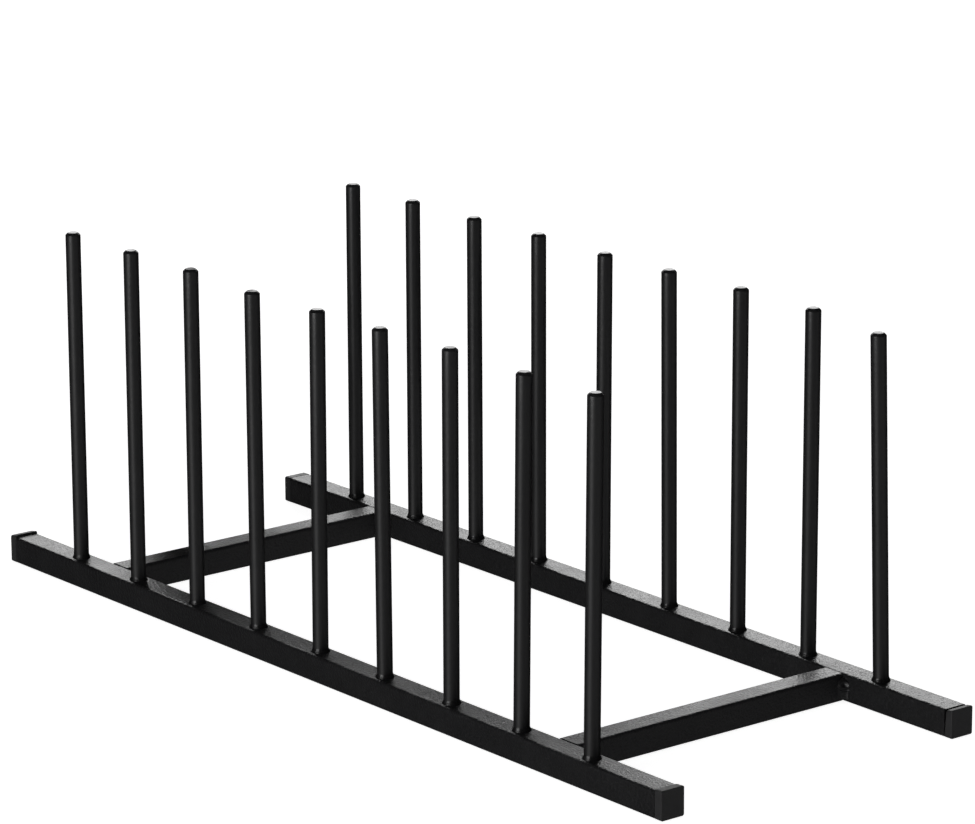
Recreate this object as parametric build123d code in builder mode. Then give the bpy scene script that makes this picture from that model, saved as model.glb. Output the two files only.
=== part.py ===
"""Pot lid rack: two rails and two crossbars of square steel tube, with a row of rods on each rail.

Millimetres, +Z up. X runs along the rails, Y from the near rail to the far one, and the origin is
on the ground under the middle of the rack.
"""

import os

from build123d import *

# Square tube of the rails and crossbars
tube_side = 12.0
tube_wall = 1.0
tube_corner_radius = 1.4

# Frame: rails side by side, crossbars between them
rail_spacing = 154.4
rail_overhang = 44.2
crossbar_inset = 21.9

# Rods: round bar through the rail's top wall
rod_count = 9
rod_pitch = 44.5
rod_diameter = 6.4
rod_height = 148.8
rod_tip_chamfer = 1.1
rod_hole_clearance = 0.02

# Weld flare round each rod's foot, on the rail
rod_weld_width = 0.6
rod_weld_height = 1.5

# Weld bead in each corner between crossbar and rail
joint_weld_leg = 2.6
joint_weld_bottom = 0.8
joint_weld_crater_height = 7.4
joint_weld_bulge = 0.4

# End cap: head outside the tube, hollow ribbed shank inside it
cap_head_length = 4.2
cap_head_step = 0.1
cap_edge_chamfer = 0.3
cap_seam_chamfer = 0.2
cap_shank_length = 12.0
cap_shank_clearance = 0.6
cap_shank_wall = 1.2
cap_lead_chamfer = 0.5
cap_rib_count = 3
cap_rib_pitch = 3.2
cap_rib_thickness = 0.7
cap_rib_clearance = 0.05
cap_first_rib = 2.0

# Worked out from the sizes above
tube_inner_side = tube_side - 2 * tube_wall
rod_radius = rod_diameter / 2
rod_row_length = (rod_count - 1) * rod_pitch
rod_xs = [index * rod_pitch - rod_row_length / 2 for index in range(rod_count)]
tube_end_x = rod_row_length / 2 + rail_overhang
rail_y = rail_spacing / 2
rail_inner_face_y = rail_y - tube_side / 2
crossbar_x = rod_row_length / 2 - crossbar_inset

rail_rows = {"near": -rail_y, "far": rail_y}
end_sides = {"left": -1, "right": 1}


def tube_section(plane):
    """Square tube's wall, centred on the plane's origin."""
    with BuildSketch(plane) as section:
        RectangleRounded(tube_side, tube_side, tube_corner_radius)
        Rectangle(tube_inner_side, tube_inner_side, mode=Mode.SUBTRACT)
    return section.sketch


def make_rail(row_y):
    """Rail with, for each rod, a weld flare on its top face and a hole through flare and top wall."""
    rod_places = [(x, row_y) for x in rod_xs]
    flare_top = tube_side + rod_weld_height
    with BuildPart() as rail:
        left_end = Plane(origin=(-tube_end_x, row_y, tube_side / 2), x_dir=(0, 1, 0), z_dir=(1, 0, 0))
        extrude(tube_section(left_end), amount=2 * tube_end_x)
        with Locations(Plane.XY.offset(tube_side)):
            with Locations(rod_places):
                Cone(
                    rod_radius + rod_weld_width,
                    rod_radius,
                    rod_weld_height,
                    align=(Align.CENTER, Align.CENTER, Align.MIN),
                )
        with BuildSketch(Plane.XY.offset(flare_top)):
            with Locations(rod_places):
                Circle(rod_radius + rod_hole_clearance)
        extrude(amount=-rod_weld_height - tube_side / 2, mode=Mode.SUBTRACT)
    return rail


def make_crossbar(centre_x):
    """Crossbar, sawn square to butt against the inner faces of both rails."""
    with BuildPart() as crossbar:
        near_end = Plane(
            origin=(centre_x, -rail_inner_face_y, tube_side / 2), x_dir=(1, 0, 0), z_dir=(0, 1, 0)
        )
        extrude(tube_section(near_end), amount=2 * rail_inner_face_y)
    return crossbar


def make_rod(x, row_y):
    """Rod through the rail's top wall, standing on its bottom wall, with a chamfered tip."""
    with BuildPart() as rod:
        with BuildSketch(Plane.XY.offset(tube_wall)):
            with Locations((x, row_y)):
                Circle(rod_radius)
        extrude(amount=tube_side - tube_wall + rod_height)
        chamfer(rod.faces().sort_by(Axis.Z)[-1].edges(), rod_tip_chamfer)
    return rod


def make_crossbar_welds(centre_x):
    """A quarter-round bead in each of a crossbar's four corners, swelling to the crater at its top."""
    corner_x = centre_x + tube_side / 2
    crater_radius = joint_weld_leg + joint_weld_bulge
    corner = Plane(origin=(corner_x, rail_inner_face_y, 0), x_dir=(1, 0, 0), z_dir=(0, -1, 0))
    with BuildPart() as welds:
        with BuildSketch(corner):
            with BuildLine():
                Polyline(
                    (0, joint_weld_bottom),
                    (joint_weld_leg, joint_weld_bottom),
                    (joint_weld_leg, joint_weld_crater_height - crater_radius),
                    (crater_radius, joint_weld_crater_height),
                    (0, joint_weld_crater_height + crater_radius),
                    close=True,
                )
            make_face()
        revolve(axis=Axis((corner_x, rail_inner_face_y, 0), (0, 0, -1)), revolution_arc=90)
        mirror(about=Plane.XZ)
        mirror(about=Plane.YZ.offset(centre_x))
    return welds


def make_end_cap(side, row_y):
    """Plastic plug: a square head on the tube's end and a ribbed hollow shank inside the tube."""
    head_side = tube_side - 2 * cap_head_step
    shank_side = tube_inner_side - 2 * cap_shank_clearance
    rib_side = tube_inner_side - 2 * cap_rib_clearance
    hollow_side = shank_side - 2 * cap_shank_wall
    seat = Plane(origin=(side * tube_end_x, row_y, tube_side / 2), x_dir=(0, 1, 0), z_dir=(side, 0, 0))
    outwards = Axis((0, 0, 0), (side, 0, 0))
    with BuildPart() as cap:
        with BuildSketch(seat):
            RectangleRounded(head_side, head_side, tube_corner_radius - cap_head_step)
        extrude(amount=cap_head_length)
        chamfer(cap.faces().sort_by(outwards)[-1].edges(), cap_edge_chamfer)
        chamfer(cap.faces().sort_by(outwards)[0].edges(), cap_seam_chamfer)
        with BuildSketch(seat):
            Rectangle(shank_side, shank_side)
        extrude(amount=-cap_shank_length)
        chamfer(cap.faces().sort_by(outwards)[0].edges(), cap_lead_chamfer)
        for index in range(cap_rib_count):
            with BuildSketch(seat.offset(-cap_first_rib - index * cap_rib_pitch)):
                Rectangle(rib_side, rib_side)
            extrude(amount=-cap_rib_thickness)
        with BuildSketch(seat.offset(-cap_shank_length)):
            Rectangle(hollow_side, hollow_side)
        extrude(amount=cap_shank_length, mode=Mode.SUBTRACT)
    return cap


def save(piece, name):
    """Label a finished piece and write it to its own file."""
    piece.part.label = name
    export_step(piece.part, f"parts/{name}.step")


os.makedirs("parts", exist_ok=True)

for row, row_y in rail_rows.items():
    save(make_rail(row_y), f"{row}_rail")
    for number, x in enumerate(rod_xs, start=1):
        save(make_rod(x, row_y), f"{row}_rod_{number}")
    for end, side in end_sides.items():
        save(make_end_cap(side, row_y), f"{row}_{end}_end_cap")

for end, side in end_sides.items():
    save(make_crossbar(side * crossbar_x), f"{end}_crossbar")
    save(make_crossbar_welds(side * crossbar_x), f"{end}_crossbar_welds")
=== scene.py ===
"""The pot lid rack's looks: satin black powder coat on welded steel, black plastic plugs in the tubes.

Metres, in the frame of the solids. The square tubes stay as they come and get their coat. Made here
are the pieces whose form needs more than the solids hold: the rods with their softened tips, the weld
round each rod's foot, the beads in the crossbars' corners and the plugs.
"""

import math

import bmesh
import bpy
from mathutils import Matrix, Vector, noise


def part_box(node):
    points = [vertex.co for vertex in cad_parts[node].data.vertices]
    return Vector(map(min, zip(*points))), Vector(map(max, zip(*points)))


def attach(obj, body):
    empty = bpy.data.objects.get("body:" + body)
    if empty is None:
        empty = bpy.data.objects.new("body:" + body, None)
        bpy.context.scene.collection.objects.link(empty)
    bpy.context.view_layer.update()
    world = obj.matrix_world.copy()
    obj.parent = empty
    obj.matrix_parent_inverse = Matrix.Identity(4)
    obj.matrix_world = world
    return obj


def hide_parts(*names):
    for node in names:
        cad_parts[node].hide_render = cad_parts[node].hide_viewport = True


MM = 0.001
MICRON = 0.000001

ROWS = ("near", "far")
ENDS = ("left", "right")
ROD_COUNT = 9

# The camera that was fitted to the rack's edges in the photo's frame; angles in degrees
PHOTO_WIDTH = 975
CAMERA_PLACE = Vector((1601.2, -1267.0, 652.4)) * MM
CAMERA_AZIMUTH = 51.359
CAMERA_ELEVATION = 15.070
CAMERA_ROLL = -0.277
FOCAL_PIXELS = 4981.0
SENSOR_WIDTH = 36.0

# How far each rod's foot and tip are off their places, to the photo's right, and how much shorter it
# was cut, where one below 0 is longer; in mm. The first three of each row can't be seen well enough
# to tell, and stand straight
FOOT_SHIFTS = {
    "near": (0, 0, 0, 0.2, 0, -0.15, -0.2, 0.2, -0.2),
    "far": (0, 0, 0, 0.2, 0.05, 0.2, 0.2, 0.2, 0.2),
}
TIP_SHIFTS = {
    "near": (0, 0, 0, -0.15, 0.46, -0.76, 0.1, 1.6, 1.1),
    "far": (0, 0, 0, 0.48, 0.9, -0.55, 0.45, 0.6, -3.1),
}
ROD_TRIMS = {
    "near": (0, 0, 0, 1.4, 0.8, 0, -0.4, 0.6, 0),
    "far": (0, 0, 0, -0.4, 0.2, -0.5, -1.0, -0.7, 1.2),
}
ROD_SIDES = 72
SHAFT_RINGS = 12
ROD_COAT = 0.15 * MM
TIP_CHAMFER = 1.1 * MM
TIP_SLOPE = 45
TIP_SOFTENING = 0.7 * MM
TIP_STEPS = 4

# Weld round a rod's foot: a flare, uneven in width round the rod and a little lumpy
FOOT_WELD_WIDTH = 0.72 * MM
FOOT_WELD_HEIGHT = 1.75 * MM
FOOT_WELD_HOLLOW = 1.3
FOOT_WELD_UNEVENNESS = 0.1
FOOT_WELD_WAVES = 1.4
FOOT_WELD_LUMP = 0.05 * MM
FOOT_LUMP_WAVES = 5
FOOT_LUMP_CLIMB = 2
FOOT_WELD_SIDES = 96
FOOT_WELD_RINGS = 10
ROD_SEED_STEP, ROW_SEED_STEP, FOOT_SEED = 3.7, 5.1, 0.3

# How far each weld reaches into the steel it is on
WELD_OVERLAP = 0.1 * MM

# Bead in a crossbar's corner: a hollow fillet with bowed ripples and a rough skin
BEAD_LEG = 3.0 * MM
BEAD_HOLLOW = 0.3
BEAD_THINNEST = 0.1 * MM
BEAD_BOTTOM = 0.8 * MM
BEAD_TOP = 10.6 * MM
BEAD_START_SHARE = 0.06
BEAD_FINISH_SHARE = 0.3
BEAD_RIPPLE = 0.05 * MM
BEAD_RIPPLE_PITCH = 1.1 * MM
BEAD_RIPPLE_BOW = 0.2
BEAD_ROUGHNESS = 0.15 * MM
BEAD_ROUGH_WAVES = 1.5
BEAD_ROUGH_LENGTH = 3 * MM
BEAD_SEED_LENGTH = 20 * MM
BEAD_RINGS = 98
BEAD_SIDES = 48

# Round puddle near the bead's top, where the arc was held, with the crater that it left as it cooled
PUDDLE_HEIGHT = 8.0 * MM
PUDDLE_SHIFT = 0.5 * MM
PUDDLE_RADIUS = 3.5 * MM
PUDDLE_SWELL = 1.0 * MM
PUDDLE_RIM = 0.4 * MM
PUDDLE_RIM_RADIUS = 2.9 * MM
PUDDLE_RIM_WIDTH = 0.3 * MM
CRATER_RADIUS = 0.8 * MM
CRATER_DEPTH = 0.7 * MM
CRATER_RIM = 0.35 * MM
CRATER_RIM_RADIUS = 1.4 * MM
CRATER_RIM_WIDTH = 0.4 * MM

# Plug's head, outside the tube. Each head stands off the tube's end by its own gap, which closes
# downwards, and above the tube by its own rise beside the tube and at its outer end; both are in mm
HEAD_CORNER = 0.9 * MM
HEAD_EDGE_ROUND = 0.35 * MM
HEAD_SEAT_ROUND = 0.2 * MM
SEAM_GAPS = {"near_left": 0.12, "near_right": 0.08, "far_left": 0.1, "far_right": 1.5}
SEAM_GAP_BELOW = 0.06
SEAM_CLOSING_POWER = 6
HEAD_RISES = {
    "near_left": (1.2, 0.4),
    "near_right": (0.35, 0.65),
    "far_left": (0.2, 0.1),
    "far_right": (-0.05, 0.5),
}
NECK_INSET = 1.6 * MM
NECK_CORNER = 0.45 * MM

# Plug's hollow shank, inside the tube, with three fins that start so many mm from the tube's end
SHANK_SIDE = 8.8 * MM
SHANK_LENGTH = 12.0 * MM
SHANK_WALL = 1.2 * MM
SHANK_CORNER = 0.3 * MM
SHANK_LEAD_IN = 0.5 * MM
HOLLOW_FLOOR = 0.2 * MM
FIN_SIDE = 9.8 * MM
FIN_STARTS = (2.0, 5.2, 8.4)
FIN_THICKNESS = 0.7 * MM
FIN_TAPER = 0.2 * MM

# Steps of the plugs' roundings, and how far beside one a flat has a further point, to stay flat
CORNER_STEPS = 8
SEAT_STEPS = 4
EDGE_STEPS = 6
BESIDE_ROUNDING = 0.15 * MM

# Edges that turn more than this stay sharp, in degrees; the second is for pieces with coarse roundings
SHARP_ANGLE = 40
ROUNDED_SHARP_ANGLE = 60

# Powder coat: its blacks and roughness where the film is thick and thin, the width of such places, and
# the width and depth of the orange peel
COAT_BLACKS = ("#171718", "#1e1e1f")
COAT_ROUGHNESS = (0.31, 0.39)
COAT_IOR = 1.5
FILM_PATCH = 14 * MM
COAT_GRAIN = 0.35 * MM
COAT_GRAIN_DEPTH = 2 * MICRON
TUBE_PEEL = (1.2 * MM, 380 * MICRON)
ROD_PEEL = (2.0 * MM, 90 * MICRON)
WELD_PEEL = (0.8 * MM, 60 * MICRON)
# The welds' blacks are darker than the coat's: painted shade, since the welds sit in the crossbars'
# corners and round the rods' feet. The welds' coat is also glossier
WELD_PAINTED_SHADE_BLACKS = ("#0f0f10", "#171718")
WELD_COAT_ROUGHNESS = (0.27, 0.35)

# Plugs' plastic, with the width of its flow marks
PLASTIC_BLACKS = ("#232324", "#29292a")
PLASTIC_ROUGHNESS = (0.5, 0.6)
PLASTIC_IOR = 1.51
FLOW_PATCH = 5 * MM
MOULD_GRAIN = 0.25 * MM
MOULD_GRAIN_DEPTH = 4 * MICRON

# Octaves of the broad patterns, the peel and the grain, and the range that most of a pattern is in
BROAD_DETAIL, PEEL_DETAIL, GRAIN_DETAIL = 3.0, 2.0, 1.0
PATTERN_LOW, PATTERN_HIGH = 0.3, 0.7

# Studio lights: azimuth and elevation in degrees as seen from the rack (0 is the front, 90 the right),
# distance, width and height in metres, and watts
SOFTBOXES = {
    "back_softbox": (231, 24, 2.2, 1.8, 1.05, 23.5),
    "left_softbox": (8, 14, 1.2, 0.6, 0.5, 4.5),
}
FILL_LIGHT = (60, 80, 1.8, 1.4, 1.4, 5)

# Brightness of the room round the rack: low down in front, low down behind, and overhead; where it
# turns from low to overhead, as heights of a unit vector; and three brighter places low down in it,
# each with its azimuth, elevation, sharpness and brightness
GLOW_AZIMUTH = 38.6
GLOW_START = -0.45
FRONT_GLOW = 0.06
BACK_GLOW = 0.005
CEILING_GLOW = 0.02
HORIZON_LOW, HORIZON_HIGH = -0.06, 0.02
LOW_REFLECTORS = ((8, -12, 12, 0.9), (75, -12, 3, 0.12), (115, -12, 12, 0.12))

# Black cards that the rail tops mirror: each card's y, and its corners' x and z from the bottom left
FLAGS = {
    "tall_flag": (
        0.1,
        (
            (-0.365, 0.062),
            (0.0, 0.062),
            (0.0, 0.116),
            (-0.08, 0.15),
            (-0.25, 0.148),
            (-0.305, 0.29),
            (-0.365, 0.33),
        ),
    ),
    "low_flag": (-0.02, ((-0.216, 0.017), (-0.155, 0.017), (-0.155, 0.08), (-0.216, 0.115))),
}
CARD_BLACK = "#202020"

# Light table and the dome round it
WHITE = "#ffffff"
FLOOR_WHITE = "#c8c8c8"
FLOOR_ROUGHNESS = 0.9
FLOOR_GLOW = 0.9
FLOOR_RADIUS = 30.0
FLOOR_SIDES = 96
DOME_SIDES, DOME_RINGS = 64, 32

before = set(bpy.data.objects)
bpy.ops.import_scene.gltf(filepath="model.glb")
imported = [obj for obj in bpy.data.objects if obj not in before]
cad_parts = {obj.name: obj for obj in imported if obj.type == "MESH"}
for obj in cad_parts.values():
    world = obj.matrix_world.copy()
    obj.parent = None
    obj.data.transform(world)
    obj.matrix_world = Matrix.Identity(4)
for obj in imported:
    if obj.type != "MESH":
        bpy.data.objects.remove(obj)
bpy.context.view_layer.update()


def linear(hex_colour):
    """An sRGB hex colour as the linear colour, with alpha, that shaders take."""
    channels = [int(hex_colour[i : i + 2], 16) / 255 for i in (1, 3, 5)]
    return [c / 12.92 if c <= 0.04045 else ((c + 0.055) / 1.055) ** 2.4 for c in channels] + [1.0]


def add_node(tree, kind, inputs, **settings):
    """Add a node with its settings; each input is a value, or another node's output to link."""
    made = tree.nodes.new(kind)
    for name, value in settings.items():
        setattr(made, name, value)
    for name, value in inputs.items():
        if isinstance(value, bpy.types.NodeSocket):
            tree.links.new(value, made.inputs[name])
        else:
            made.inputs[name].default_value = value
    return made


def new_material(name):
    """An empty node material, and its tree."""
    material = bpy.data.materials.new(name)
    material.use_nodes = True
    material.node_tree.nodes.clear()
    return material, material.node_tree


def patches(tree, place, width, detail):
    """Soft patches of about the given width, from 0 to 1."""
    inputs = {"Vector": place, "Scale": 1 / width, "Detail": detail}
    return add_node(tree, "ShaderNodeTexNoise", inputs).outputs["Fac"]


def relief(tree, height, depth, below=None):
    """Surface relief of the given depth, on top of another relief if there is one."""
    inputs = {"Height": height, "Strength": 1.0, "Distance": depth}
    if below:
        inputs["Normal"] = below
    return add_node(tree, "ShaderNodeBump", inputs).outputs["Normal"]


def tinted(tree, factor, dark, light):
    """A colour between two hex colours."""
    inputs = {"Factor": factor, "A": linear(dark), "B": linear(light)}
    return add_node(tree, "ShaderNodeMix", inputs, data_type="RGBA").outputs["Result"]


def ranged(tree, value, low, high, start=PATTERN_LOW, end=PATTERN_HIGH):
    """A value from a pattern, stretched to the range between low and high."""
    inputs = {"Value": value, "From Min": start, "From Max": end, "To Min": low, "To Max": high}
    return add_node(tree, "ShaderNodeMapRange", inputs).outputs["Result"]


def powder_coat(name, peel_width, peel_depth, blacks=COAT_BLACKS, roughness=COAT_ROUGHNESS):
    """Polyester powder, sprayed on steel and baked: satin black, with the dimples of orange peel.

    To the eye it is a soft sheen that breaks up into fine mottling where light grazes it. The peel is
    as wide as real peel and drawn deeper, and the grain of the powder, about 50 microns, is drawn
    coarser, since both are too fine to show.
    """
    material, tree = new_material(name)
    place = add_node(tree, "ShaderNodeTexCoord", {}).outputs["Object"]
    film = patches(tree, place, FILM_PATCH, BROAD_DETAIL)
    peel = relief(tree, patches(tree, place, peel_width, PEEL_DETAIL), peel_depth)
    grain = patches(tree, place, COAT_GRAIN, GRAIN_DETAIL)
    inputs = {
        "Base Color": tinted(tree, film, *blacks),
        "Roughness": ranged(tree, film, *roughness),
        "IOR": COAT_IOR,
        "Normal": relief(tree, grain, COAT_GRAIN_DEPTH, below=peel),
    }
    shader = add_node(tree, "ShaderNodeBsdfPrincipled", inputs)
    add_node(tree, "ShaderNodeOutputMaterial", {"Surface": shader.outputs["BSDF"]})
    return material


def moulded_polyethylene(name):
    """Black polyethylene, injection moulded: a little greyer than the coat, and matt.

    The spark-eroded mould leaves a pebbled grain that takes the shine off. Its pebbles are about 50
    microns wide, too fine to show, and are drawn coarser.
    """
    material, tree = new_material(name)
    place = add_node(tree, "ShaderNodeTexCoord", {}).outputs["Object"]
    flow = patches(tree, place, FLOW_PATCH, BROAD_DETAIL)
    pebbles = add_node(tree, "ShaderNodeTexVoronoi", {"Vector": place, "Scale": 1 / MOULD_GRAIN})
    inputs = {
        "Base Color": tinted(tree, flow, *PLASTIC_BLACKS),
        "Roughness": ranged(tree, flow, *PLASTIC_ROUGHNESS),
        "IOR": PLASTIC_IOR,
        "Normal": relief(tree, pebbles.outputs["Distance"], MOULD_GRAIN_DEPTH),
    }
    shader = add_node(tree, "ShaderNodeBsdfPrincipled", inputs)
    add_node(tree, "ShaderNodeOutputMaterial", {"Surface": shader.outputs["BSDF"]})
    return material


def arc(centre, radius, start, end, steps):
    """Points of a circular arc in a profile's plane; angles in degrees."""
    points = []
    for step in range(steps + 1):
        angle = math.radians(start + (end - start) * step / steps)
        points.append((centre[0] + radius * math.cos(angle), centre[1] + radius * math.sin(angle)))
    return points


def around(count):
    """Level unit vectors, evenly spaced round a circle."""
    angles = [2 * math.pi * side / count for side in range(count)]
    return [Vector((math.cos(angle), math.sin(angle), 0)) for angle in angles]


def new_ring(mesh_data, places):
    """A ring of vertices."""
    return [mesh_data.verts.new(place) for place in places]


def bridge(mesh_data, rings):
    """Faces between neighbouring rings of vertices."""
    for lower, upper in zip(rings, rings[1:]):
        for i in range(len(lower)):
            j = (i + 1) % len(lower)
            mesh_data.faces.new((lower[i], lower[j], upper[j], upper[i]))


def close_ends(mesh_data, rings):
    """A face across the first ring and another across the last."""
    mesh_data.faces.new(rings[0])
    mesh_data.faces.new(rings[-1])


def new_piece(name, mesh_data, material, sharp_angle=SHARP_ANGLE):
    """Turn a bmesh into a piece that rides with the rack, smooth but for its sharp edges."""
    bmesh.ops.recalc_face_normals(mesh_data, faces=mesh_data.faces)
    mesh = bpy.data.meshes.new(name)
    mesh_data.to_mesh(mesh)
    mesh_data.free()
    mesh.shade_smooth()
    mesh.set_sharp_from_angle(angle=math.radians(sharp_angle))
    mesh.materials.append(material)
    piece = bpy.data.objects.new(name, mesh)
    bpy.context.scene.collection.objects.link(piece)
    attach(piece, "root")
    return piece


def view_right():
    """Level unit vector to the photo's right."""
    azimuth = math.radians(CAMERA_AZIMUTH)
    return Vector((math.cos(azimuth), math.sin(azimuth), 0))


def rail_top():
    """Height of the tubes' top faces, from a crossbar, since a rail's box holds its weld flares too."""
    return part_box("left_crossbar")[1].z


def rod_axis(row, number, z):
    """The point at a height on the line that a rod leans along, from its rail's top up."""
    low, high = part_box(f"{row}_rod_{number}")
    share = max(0.0, (z - rail_top()) / (high.z - rail_top()))
    foot_shift, tip_shift = FOOT_SHIFTS[row][number - 1], TIP_SHIFTS[row][number - 1]
    shift = view_right() * (foot_shift + (tip_shift - foot_shift) * share) * MM
    return Vector(((low.x + high.x) / 2, (low.y + high.y) / 2, z)) + shift


def rod_profile(bare_radius, foot_z, coat_z, tip_z):
    """A rod's radius and height, bare in the rail and coated above; the coat rounds its tip's edges."""
    radius = bare_radius + ROD_COAT
    turn = TIP_SOFTENING * math.tan(math.radians(TIP_SLOPE / 2))
    shoulder_centre = (radius - TIP_SOFTENING, tip_z - TIP_CHAMFER - turn)
    crown_centre = (radius - TIP_CHAMFER - turn, tip_z - TIP_SOFTENING)
    shoulder = arc(shoulder_centre, TIP_SOFTENING, 0, TIP_SLOPE, TIP_STEPS)
    crown = arc(crown_centre, TIP_SOFTENING, TIP_SLOPE, 90, TIP_STEPS)
    shaft_top = shoulder[0][1]
    shaft = [(radius, coat_z + (shaft_top - coat_z) * i / SHAFT_RINGS) for i in range(SHAFT_RINGS)]
    return [(bare_radius, foot_z), (bare_radius, coat_z)] + shaft + shoulder + crown


def make_rod(row, number, coat):
    """A rod that leans a little from its weld up, as the welder left it."""
    node = f"{row}_rod_{number}"
    low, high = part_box(node)
    tip_z = high.z - ROD_TRIMS[row][number - 1] * MM
    mesh_data = bmesh.new()
    rings = []
    for ring_radius, z in rod_profile((high.x - low.x) / 2, low.z, rail_top(), tip_z):
        middle = rod_axis(row, number, z)
        rings.append(new_ring(mesh_data, [middle + out * ring_radius for out in around(ROD_SIDES)]))
    bridge(mesh_data, rings)
    close_ends(mesh_data, rings)
    piece = new_piece(f"{node}_coated", mesh_data, coat, ROUNDED_SHARP_ANGLE)
    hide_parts(node)


def make_foot_weld(row, number, coat):
    """The weld round a rod's foot, under its coat: a small, slightly uneven flare from rail to rod."""
    low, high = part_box(f"{row}_rod_{number}")
    foot = rod_axis(row, number, rail_top())
    radius = (high.x - low.x) / 2 + ROD_COAT
    seed = Vector((number * ROD_SEED_STEP, ROWS.index(row) * ROW_SEED_STEP, FOOT_SEED))
    mesh_data = bmesh.new()
    rings = []
    for step in range(FOOT_WELD_RINGS + 1):
        share = step / FOOT_WELD_RINGS
        lump_height = Vector((0, 0, share * FOOT_LUMP_CLIMB))
        places = []
        for out in around(FOOT_WELD_SIDES):
            swell = 1.0 + FOOT_WELD_UNEVENNESS * noise.noise(seed + out * FOOT_WELD_WAVES)
            lump = FOOT_WELD_LUMP * noise.noise(seed + out * FOOT_LUMP_WAVES + lump_height)
            reach = FOOT_WELD_WIDTH * swell * (1 - share) ** FOOT_WELD_HOLLOW
            reach += lump * math.sin(math.pi * share)
            climb = FOOT_WELD_HEIGHT * swell * share
            places.append(foot + out * (radius + reach) + Vector((0, 0, climb)))
        rings.append(new_ring(mesh_data, places))
    inner_places = [foot + out * (radius - WELD_OVERLAP) for out in around(FOOT_WELD_SIDES)]
    bridge(mesh_data, rings + [new_ring(mesh_data, inner_places), rings[0]])
    new_piece(f"{row}_rod_{number}_weld", mesh_data, coat)


def eased(share):
    """A steep start that flattens to 1 where the share is 1."""
    return math.sqrt(min(1.0, max(0.0, share)))


def ridge(distance, width):
    """A bell-shaped height, 1 in its middle and near 0 beyond twice the width."""
    return math.exp(-((distance / width) ** 2))


def bead_reach(theta, z, seed):
    """How far a bead stands out from its corner, at an angle from the rail's face and a height."""
    along = (z - BEAD_BOTTOM) / (BEAD_TOP - BEAD_BOTTOM)
    ends = eased(along / BEAD_START_SHARE) * eased((1 - along) / BEAD_FINISH_SHARE)
    turned = math.cos(theta) + math.sin(theta)
    straight, hollow = 1 / turned, turned - math.sqrt(max(0.0, turned**2 - 1))
    fillet = BEAD_LEG * ((1 - BEAD_HOLLOW) * straight + BEAD_HOLLOW * hollow)
    across = fillet * (math.cos(theta) - math.sin(theta)) / math.sqrt(2)
    from_puddle = math.hypot(across - PUDDLE_SHIFT, z - PUDDLE_HEIGHT)
    dome = max(0.0, 1 - (from_puddle / PUDDLE_RADIUS) ** 2)
    rims = PUDDLE_RIM * ridge(from_puddle - PUDDLE_RIM_RADIUS, PUDDLE_RIM_WIDTH)
    rims += CRATER_RIM * ridge(from_puddle - CRATER_RIM_RADIUS, CRATER_RIM_WIDTH)
    crater = CRATER_DEPTH * ridge(from_puddle, CRATER_RADIUS)
    ripples_passed = (z + BEAD_RIPPLE_BOW * abs(across)) / BEAD_RIPPLE_PITCH
    ripple = BEAD_RIPPLE * (1 - dome) * math.sin(2 * math.pi * ripples_passed)
    place = seed + Vector((math.cos(theta), math.sin(theta), z / BEAD_ROUGH_LENGTH))
    rough = BEAD_ROUGHNESS * noise.noise(place * BEAD_ROUGH_WAVES)
    reach = ends * (fillet + rough + ripple) + PUDDLE_SWELL * dome + rims - crater
    return max(BEAD_THINNEST, reach)


def make_crossbar_beads(end, coat):
    """The welds in a crossbar's four corners: rippled beads that end in a dimpled crater."""
    bar_low, bar_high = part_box(f"{end}_crossbar")
    mesh_data = bmesh.new()
    for side, corner_x in ((-1, bar_low.x), (1, bar_high.x)):
        for inwards, corner_y in ((1, bar_low.y), (-1, bar_high.y)):
            seed = Vector((corner_x, corner_y, 0)) / BEAD_SEED_LENGTH
            root_x, root_y = corner_x - side * WELD_OVERLAP, corner_y - inwards * WELD_OVERLAP
            rings = []
            for ring in range(BEAD_RINGS + 1):
                z = BEAD_BOTTOM + (BEAD_TOP - BEAD_BOTTOM) * ring / BEAD_RINGS
                places = [Vector((root_x, root_y, z))]
                for step in range(BEAD_SIDES + 1):
                    theta = math.pi / 2 * step / BEAD_SIDES
                    reach = bead_reach(theta, z, seed)
                    over_x, over_y = reach * math.cos(theta), reach * math.sin(theta)
                    places.append(Vector((corner_x + side * over_x, corner_y + inwards * over_y, z)))
                rings.append(new_ring(mesh_data, places))
            bridge(mesh_data, rings)
            close_ends(mesh_data, rings)
    name, node = f"{end}_crossbar_beads", f"{end}_crossbar_welds"
    piece = new_piece(name, mesh_data, coat, ROUNDED_SHARP_ANGLE)
    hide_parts(node)


def rounded_square(side, corner_radius):
    """Points round a square with rounded corners; a point beside each corner keeps the flats flat."""
    half = side / 2 - corner_radius
    points = []
    for quarter in range(4):
        turn = Matrix.Rotation(math.pi / 2 * quarter, 2)
        corner = [(half + corner_radius, half - BESIDE_ROUNDING)]
        corner += arc((half, half), corner_radius, 0, 90, CORNER_STEPS)
        corner += [(half - BESIDE_ROUNDING, half + corner_radius)]
        points += [turn @ Vector(point) for point in corner]
    return points


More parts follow.
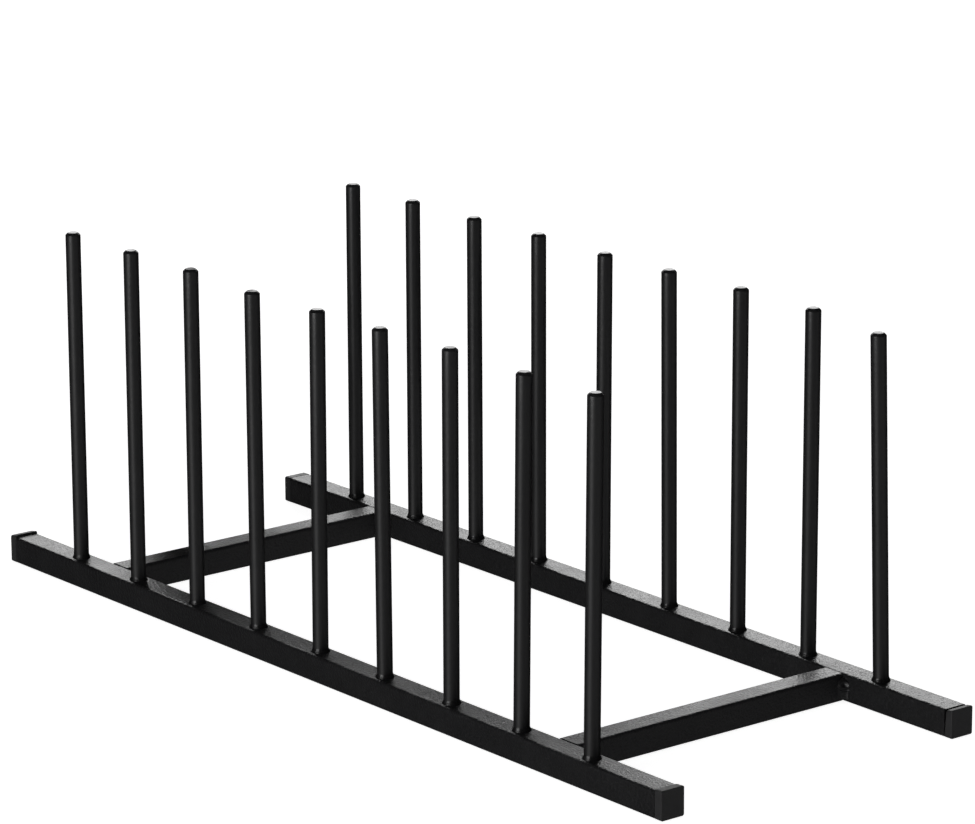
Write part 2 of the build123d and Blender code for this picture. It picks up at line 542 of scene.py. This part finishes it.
def shank_profile():
    """Rings of a plug's shank, from its hollow's floor to its seat: distance out, side, corner."""
    hollow_side = SHANK_SIDE - 2 * SHANK_WALL
    rings = [(-HOLLOW_FLOOR, hollow_side, SHANK_CORNER), (-SHANK_LENGTH, hollow_side, SHANK_CORNER)]
    rings.append((-SHANK_LENGTH, SHANK_SIDE - 2 * SHANK_LEAD_IN, SHANK_CORNER))
    rings.append((SHANK_LEAD_IN - SHANK_LENGTH, SHANK_SIDE, SHANK_CORNER))
    for start in reversed(FIN_STARTS):
        inner_x, outer_x = -start * MM - FIN_THICKNESS, -start * MM
        rings.append((inner_x, SHANK_SIDE, SHANK_CORNER))
        rings.append((inner_x, FIN_SIDE - 2 * FIN_TAPER, SHANK_CORNER))
        rings.append((outer_x, FIN_SIDE, SHANK_CORNER))
        rings.append((outer_x, SHANK_SIDE, SHANK_CORNER))
    rings.append((0, SHANK_SIDE, SHANK_CORNER))
    return rings


def head_profile(side, length, gap):
    """Rings of a plug's head from its neck at the tube's end to its outer face, as for the shank."""
    neck = side - 2 * NECK_INSET
    rings = [(0, neck, NECK_CORNER), (gap, neck, NECK_CORNER)]
    seat_centre = (HEAD_SEAT_ROUND, gap + HEAD_SEAT_ROUND)
    for turned_out, x in arc(seat_centre, HEAD_SEAT_ROUND, 270, 180, SEAT_STEPS):
        rings.append((x, side - 2 * turned_out, HEAD_CORNER - turned_out))
    rings.append((gap + HEAD_SEAT_ROUND + BESIDE_ROUNDING, side, HEAD_CORNER))
    rings.append((length - HEAD_EDGE_ROUND - BESIDE_ROUNDING, side, HEAD_CORNER))
    edge_centre = (HEAD_EDGE_ROUND, length - HEAD_EDGE_ROUND)
    for turned_out, x in arc(edge_centre, HEAD_EDGE_ROUND, 180, 90, EDGE_STEPS):
        rings.append((x, side - 2 * turned_out, HEAD_CORNER - turned_out))
    face_side = side - 2 * (HEAD_EDGE_ROUND + BESIDE_ROUNDING)
    rings.append((length, face_side, HEAD_CORNER - HEAD_EDGE_ROUND))
    return rings


def make_plug(row, end, plastic):
    """A plastic plug in a rail's end, with a head that sits as the photo shows it, a little askew."""
    node = f"{row}_{end}_end_cap"
    low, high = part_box(node)
    rail_low, rail_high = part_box(f"{row}_rail")
    out = -1 if end == "left" else 1
    seat_x = rail_low.x if end == "left" else rail_high.x
    head_length = abs((low.x if end == "left" else high.x) - seat_x)
    middle_y, middle_z = (low.y + high.y) / 2, (low.z + high.z) / 2
    gap = SEAM_GAPS[f"{row}_{end}"] * MM
    inner_rise, outer_rise = HEAD_RISES[f"{row}_{end}"]
    mesh_data = bmesh.new()
    rings = []
    for x, side, corner in shank_profile() + head_profile(high.y - low.y, head_length, gap):
        rise, closing = 0.0, 0.0
        if x >= gap:
            rise = (inner_rise + (outer_rise - inner_rise) * x / head_length) * MM
            closing = (gap - SEAM_GAP_BELOW * MM) * (head_length - x) / (head_length - gap)
        places = []
        for y, z in rounded_square(side, corner):
            raised = (z + side / 2) / side
            reach = x - closing * (1 - raised**SEAM_CLOSING_POWER)
            places.append(Vector((seat_x + out * reach, middle_y + y, middle_z + z + rise * raised)))
        rings.append(new_ring(mesh_data, places))
    bridge(mesh_data, rings)
    close_ends(mesh_data, rings)
    piece = new_piece(f"{row}_{end}_plug", mesh_data, plastic)
    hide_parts(node)


def direction(azimuth, elevation):
    """Unit vector towards an azimuth and elevation in degrees; azimuth 0 is the front, 90 the right."""
    a, e = math.radians(azimuth), math.radians(elevation)
    return Vector((math.sin(a) * math.cos(e), -math.cos(a) * math.cos(e), math.sin(e)))


def make_camera():
    """The photo's camera: its place, direction and focal length as fitted."""
    back = direction(CAMERA_AZIMUTH, CAMERA_ELEVATION)
    raised = back.cross(view_right())
    roll = math.radians(CAMERA_ROLL)
    right = math.cos(roll) * view_right() + math.sin(roll) * raised
    up = math.cos(roll) * raised - math.sin(roll) * view_right()
    data = bpy.data.cameras.new("camera")
    data.sensor_fit = "HORIZONTAL"
    data.sensor_width = SENSOR_WIDTH
    data.lens = FOCAL_PIXELS / PHOTO_WIDTH * SENSOR_WIDTH
    camera = bpy.data.objects.new("camera", data)
    turned = Matrix((right, up, back)).transposed().to_4x4()
    camera.matrix_world = Matrix.Translation(CAMERA_PLACE) @ turned
    bpy.context.scene.collection.objects.link(camera)
    bpy.context.scene.camera = camera


def make_softbox(name, azimuth, elevation, distance, width, height, watts):
    """A rectangular studio light that faces the rack."""
    data = bpy.data.lights.new(name, "AREA")
    data.shape = "RECTANGLE"
    data.size, data.size_y = width, height
    data.energy = watts
    light = bpy.data.objects.new(name, data)
    towards = direction(azimuth, elevation)
    light.location = towards * distance
    light.rotation_euler = towards.to_track_quat("Z", "Y").to_euler()
    bpy.context.scene.collection.objects.link(light)
    return light


def new_stage_piece(name, mesh_data, material):
    """Turn a bmesh into a piece of the studio, which the coat doesn't mirror."""
    mesh = bpy.data.meshes.new(name)
    mesh_data.to_mesh(mesh)
    mesh_data.free()
    mesh.materials.append(material)
    piece = bpy.data.objects.new(name, mesh)
    bpy.context.scene.collection.objects.link(piece)
    piece.visible_glossy = False
    return piece


def make_floor():
    """A white acrylic light table: it glows evenly, so the rack's shadow on it stays faint."""
    material, tree = new_material("white_acrylic_light_table")
    inputs = {
        "Base Color": linear(FLOOR_WHITE),
        "Roughness": FLOOR_ROUGHNESS,
        "Specular IOR Level": 0.0,
        "Emission Color": linear(WHITE),
        "Emission Strength": FLOOR_GLOW,
    }
    shader = add_node(tree, "ShaderNodeBsdfPrincipled", inputs)
    add_node(tree, "ShaderNodeOutputMaterial", {"Surface": shader.outputs["BSDF"]})
    mesh_data = bmesh.new()
    bmesh.ops.create_circle(mesh_data, cap_ends=True, radius=FLOOR_RADIUS, segments=FLOOR_SIDES)
    new_stage_piece("floor", mesh_data, material)


def make_backdrop():
    """A pale dome round the floor, which only the camera sees, so that low views end in white too."""
    material, tree = new_material("pale_backdrop")
    glow = add_node(tree, "ShaderNodeEmission", {"Color": linear(WHITE), "Strength": 1.0})
    add_node(tree, "ShaderNodeOutputMaterial", {"Surface": glow.outputs["Emission"]})
    mesh_data = bmesh.new()
    size = {"u_segments": DOME_SIDES, "v_segments": DOME_RINGS, "radius": FLOOR_RADIUS}
    bmesh.ops.create_uvsphere(mesh_data, **size)
    backdrop = new_stage_piece("backdrop", mesh_data, material)
    backdrop.visible_diffuse = False
    backdrop.visible_shadow = False


def make_flag(name, y, outline, material):
    """A black card, out of the camera's sight, that darkens part of the near rail's sheen."""
    mesh_data = bmesh.new()
    mesh_data.faces.new(new_ring(mesh_data, [(x, y, z) for x, z in outline]))
    flag = new_stage_piece(name, mesh_data, material)
    flag.visible_glossy = True
    flag.visible_camera = False
    flag.visible_diffuse = False


def black_card():
    """Matt black card."""
    material, tree = new_material("black_card")
    shader = add_node(tree, "ShaderNodeBsdfDiffuse", {"Color": linear(CARD_BLACK)})
    add_node(tree, "ShaderNodeOutputMaterial", {"Surface": shader.outputs["BSDF"]})
    return material


def make_surroundings():
    """What the coat mirrors of the room: dark above and behind, a dim glow low down in front."""
    world = bpy.data.worlds.new("studio")
    bpy.context.scene.world = world
    world.use_nodes = True
    tree = world.node_tree
    tree.nodes.clear()
    place = add_node(tree, "ShaderNodeTexCoord", {}).outputs["Generated"]
    height = add_node(tree, "ShaderNodeSeparateXYZ", {"Vector": place}).outputs["Z"]
    inputs = {0: place, 1: direction(GLOW_AZIMUTH, 0)}
    facing = add_node(tree, "ShaderNodeVectorMath", inputs, operation="DOT_PRODUCT")
    low_glow = ranged(tree, facing.outputs["Value"], BACK_GLOW, FRONT_GLOW, start=GLOW_START, end=1.0)
    for azimuth, elevation, sharpness, brightness in LOW_REFLECTORS:
        inputs = {0: place, 1: direction(azimuth, elevation)}
        near = add_node(tree, "ShaderNodeVectorMath", inputs, operation="DOT_PRODUCT")
        inputs = {0: near.outputs["Value"], 1: 0.0}
        ahead = add_node(tree, "ShaderNodeMath", inputs, operation="MAXIMUM")
        inputs = {0: ahead.outputs["Value"], 1: sharpness}
        patch = add_node(tree, "ShaderNodeMath", inputs, operation="POWER")
        inputs = {0: patch.outputs["Value"], 1: brightness, 2: low_glow}
        low_glow = add_node(tree, "ShaderNodeMath", inputs, operation="MULTIPLY_ADD").outputs["Value"]
    level = ranged(tree, height, low_glow, CEILING_GLOW, start=HORIZON_LOW, end=HORIZON_HIGH)
    shader = add_node(tree, "ShaderNodeBackground", {"Color": linear(WHITE), "Strength": level})
    add_node(tree, "ShaderNodeOutputWorld", {"Surface": shader.outputs["Background"]})


coat = powder_coat("satin_black_powder_coat", *TUBE_PEEL)
rod_coat = powder_coat("satin_black_powder_coat_on_round_bar", *ROD_PEEL)
# The coat over the welds is the same powder with darker blacks: painted shade in the corners and round
# the rods' feet
weld_coat_with_painted_shade = powder_coat("powder_coat_over_weld_with_painted_shade", *WELD_PEEL, WELD_PAINTED_SHADE_BLACKS, WELD_COAT_ROUGHNESS)
plug_plastic = moulded_polyethylene("black_moulded_polyethylene")

for node in ("near_rail", "far_rail", "left_crossbar", "right_crossbar"):
    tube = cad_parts[node]
    tube.data.materials.clear()
    tube.data.materials.append(coat)
for row in ROWS:
    for number in range(1, ROD_COUNT + 1):
        make_rod(row, number, rod_coat)
        make_foot_weld(row, number, weld_coat_with_painted_shade)
    for end in ENDS:
        make_plug(row, end, plug_plastic)
for end in ENDS:
    make_crossbar_beads(end, weld_coat_with_painted_shade)

bpy.context.scene.view_settings.view_transform = "Standard"
make_camera()
make_floor()
make_backdrop()
card = black_card()
for name, setting in FLAGS.items():
    make_flag(name, *setting, card)
make_surroundings()
for name, setting in SOFTBOXES.items():
    make_softbox(name, *setting)
fill_light = make_softbox("overhead_fill", *FILL_LIGHT)
fill_light.visible_glossy = False
